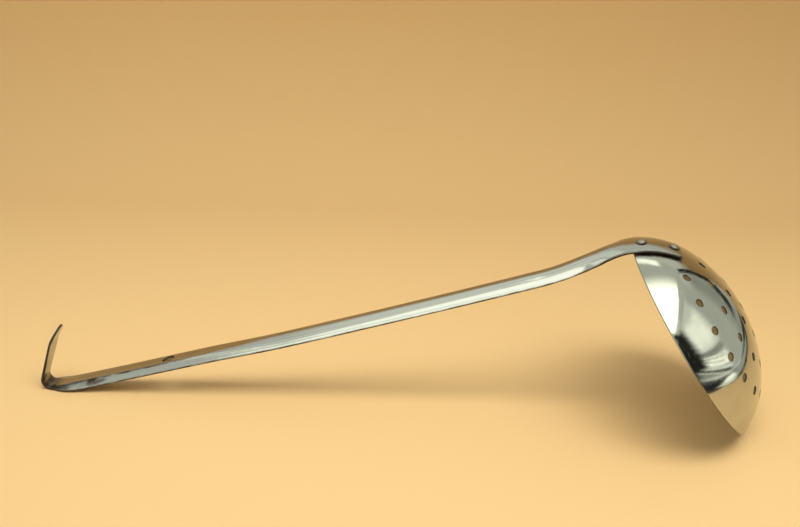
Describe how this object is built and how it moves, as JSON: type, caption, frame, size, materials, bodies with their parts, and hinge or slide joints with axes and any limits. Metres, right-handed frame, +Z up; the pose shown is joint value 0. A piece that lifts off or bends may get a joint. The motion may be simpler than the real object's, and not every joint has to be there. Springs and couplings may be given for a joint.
{
  "type": "perforated ladle",
  "caption": "Perforated steel ladle with a round bowl, a riveted channel handle, a hanging hole and a turned-up hook.",
  "frame": {"origin": "on the table, under the middle of the overall length, in the handle's middle plane", "axes": "+X from the hook towards the bowl, +Z up from the table, the handle's middle plane is Y = 0"},
  "size_m": [0.3694, 0.11, 0.0947],
  "materials": {
    "bowl_steel": "polished stainless steel with fine wear lines",
    "handle_steel": "polished stainless steel with fine wear lines along the strip",
    "rivet_steel": "polished rivet steel, worn"
  },
  "bodies": {
    "root": {"bowl": "bowl_steel", "handle": "handle_steel", "rim_rivet": "rivet_steel", "tab_rivet": "rivet_steel"}
  },
  "joints": []
}
